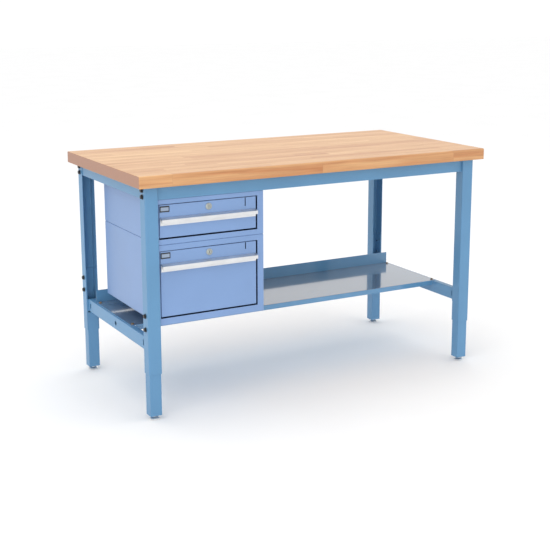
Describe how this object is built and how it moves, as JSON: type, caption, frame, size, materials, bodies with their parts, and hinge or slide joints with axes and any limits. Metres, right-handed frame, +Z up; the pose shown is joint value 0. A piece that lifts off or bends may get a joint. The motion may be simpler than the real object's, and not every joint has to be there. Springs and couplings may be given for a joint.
{
  "type": "workbench with drawers",
  "caption": "Height-adjustable steel workbench with a butcher-block top, a narrow lower shelf and drawers hung under the left end.",
  "frame": {"origin": "on the floor under the middle of the worktop", "axes": "+X along the bench's length away from the drawers, -Y towards the person at the bench, +Z up"},
  "size_m": [1.524, 0.762, 0.9144],
  "materials": {
    "maple": "oiled butcher block, satin",
    "frame_paint": "satin powder coat, medium blue",
    "cabinet_paint": "smooth powder coat, periwinkle blue",
    "shelf_paint": "glossy powder coat that mirrors what is above it",
    "pull_aluminium": "satin anodised extrusion",
    "zinc_plate": "bright zinc plate",
    "black_steel": "black oxide",
    "glide_steel": "nickel plate"
  },
  "bodies": {
    "bench": {"worktop": "maple", "front_apron": "frame_paint", "rear_apron": "frame_paint", "left_side_rail": "frame_paint", "right_side_rail": "frame_paint", "left_brace": "frame_paint", "right_brace": "frame_paint", "lower_shelf": "shelf_paint", "left_hanger": "frame_paint", "right_hanger": "frame_paint", "upper_leg_front_left": "frame_paint", "bolt_front_left_pin_low": "black_steel", "bolt_front_left_pin_high": "black_steel", "bolt_front_left_top_low": "black_steel", "bolt_front_left_top_high": "black_steel", "upper_leg_front_right": "frame_paint", "bolt_front_right_pin_low": "black_steel", "bolt_front_right_pin_high": "black_steel", "bolt_front_right_top_low": "black_steel", "bolt_front_right_top_high": "black_steel", "upper_leg_rear_left": "frame_paint", "bolt_rear_left_pin_low": "black_steel", "bolt_rear_left_pin_high": "black_steel", "bolt_rear_left_top_low": "black_steel", "bolt_rear_left_top_high": "black_steel", "upper_leg_rear_right": "frame_paint", "bolt_rear_right_pin_low": "black_steel", "bolt_rear_right_pin_high": "black_steel", "bolt_rear_right_top_low": "black_steel", "bolt_rear_right_top_high": "black_steel", "upper_cabinet": "cabinet_paint", "upper_slide_left_outer": "zinc_plate", "upper_slide_right_outer": "zinc_plate", "lower_cabinet": "cabinet_paint", "lower_slide_left_outer": "zinc_plate", "lower_slide_right_outer": "zinc_plate"},
    "leg_front_left": {"lower_leg_front_left": "frame_paint"},
    "glide_front_left": {"foot_front_left": "glide_steel"},
    "leg_front_right": {"lower_leg_front_right": "frame_paint"},
    "glide_front_right": {"foot_front_right": "glide_steel"},
    "leg_rear_left": {"lower_leg_rear_left": "frame_paint"},
    "glide_rear_left": {"foot_rear_left": "glide_steel"},
    "leg_rear_right": {"lower_leg_rear_right": "frame_paint"},
    "glide_rear_right": {"foot_rear_right": "glide_steel"},
    "upper_drawer": {"upper_drawer_front": "cabinet_paint", "upper_drawer_box": "cabinet_paint", "upper_pull": "pull_aluminium", "upper_slide_left_inner": "zinc_plate", "upper_slide_right_inner": "zinc_plate"},
    "upper_slide_middles": {"upper_slide_left_middle": "zinc_plate", "upper_slide_right_middle": "zinc_plate"},
    "upper_lock": {"upper_lock": "zinc_plate"},
    "lower_drawer": {"lower_drawer_front": "cabinet_paint", "lower_drawer_box": "cabinet_paint", "lower_pull": "pull_aluminium", "lower_slide_left_inner": "zinc_plate", "lower_slide_right_inner": "zinc_plate"},
    "lower_slide_middles": {"lower_slide_left_middle": "zinc_plate", "lower_slide_right_middle": "zinc_plate"},
    "lower_lock": {"lower_lock": "zinc_plate"}
  },
  "joints": [
    {"name": "height_front_left", "type": "slide", "parent": "bench", "child": "leg_front_left", "axis": [0, 0, 1], "range_m": [0, 0.1524]},
    {"name": "level_front_left", "type": "slide", "parent": "leg_front_left", "child": "glide_front_left", "axis": [0, 0, -1], "range_m": [0, 0.019]},
    {"name": "height_front_right", "type": "slide", "parent": "bench", "child": "leg_front_right", "axis": [0, 0, 1], "range_m": [0, 0.1524]},
    {"name": "level_front_right", "type": "slide", "parent": "leg_front_right", "child": "glide_front_right", "axis": [0, 0, -1], "range_m": [0, 0.019]},
    {"name": "height_rear_left", "type": "slide", "parent": "bench", "child": "leg_rear_left", "axis": [0, 0, 1], "range_m": [0, 0.1524]},
    {"name": "level_rear_left", "type": "slide", "parent": "leg_rear_left", "child": "glide_rear_left", "axis": [0, 0, -1], "range_m": [0, 0.019]},
    {"name": "height_rear_right", "type": "slide", "parent": "bench", "child": "leg_rear_right", "axis": [0, 0, 1], "range_m": [0, 0.1524]},
    {"name": "level_rear_right", "type": "slide", "parent": "leg_rear_right", "child": "glide_rear_right", "axis": [0, 0, -1], "range_m": [0, 0.019]},
    {"name": "upper_drawer_slide", "type": "slide", "parent": "bench", "child": "upper_drawer", "axis": [0, -1, 0], "range_m": [0, 0.45]},
    {"name": "upper_middle_slide", "type": "slide", "parent": "bench", "child": "upper_slide_middles", "axis": [0, -1, 0], "range_m": [0, 0.225]},
    {"name": "upper_lock_turn", "type": "hinge", "parent": "upper_drawer", "child": "upper_lock", "pos_m": [-0.477, -0.341, 0.779], "axis": [0, -1, 0], "range_deg": [0, 90]},
    {"name": "lower_drawer_slide", "type": "slide", "parent": "bench", "child": "lower_drawer", "axis": [0, -1, 0], "range_m": [0, 0.45]},
    {"name": "lower_middle_slide", "type": "slide", "parent": "bench", "child": "lower_slide_middles", "axis": [0, -1, 0], "range_m": [0, 0.225]},
    {"name": "lower_lock_turn", "type": "hinge", "parent": "lower_drawer", "child": "lower_lock", "pos_m": [-0.477, -0.341, 0.6086], "axis": [0, -1, 0], "range_deg": [0, 90]}
  ],
  "couplings": [
    {"joint": "upper_middle_slide", "follows": "upper_drawer_slide", "ratio": 0.5},
    {"joint": "lower_middle_slide", "follows": "lower_drawer_slide", "ratio": 0.5}
  ]
}
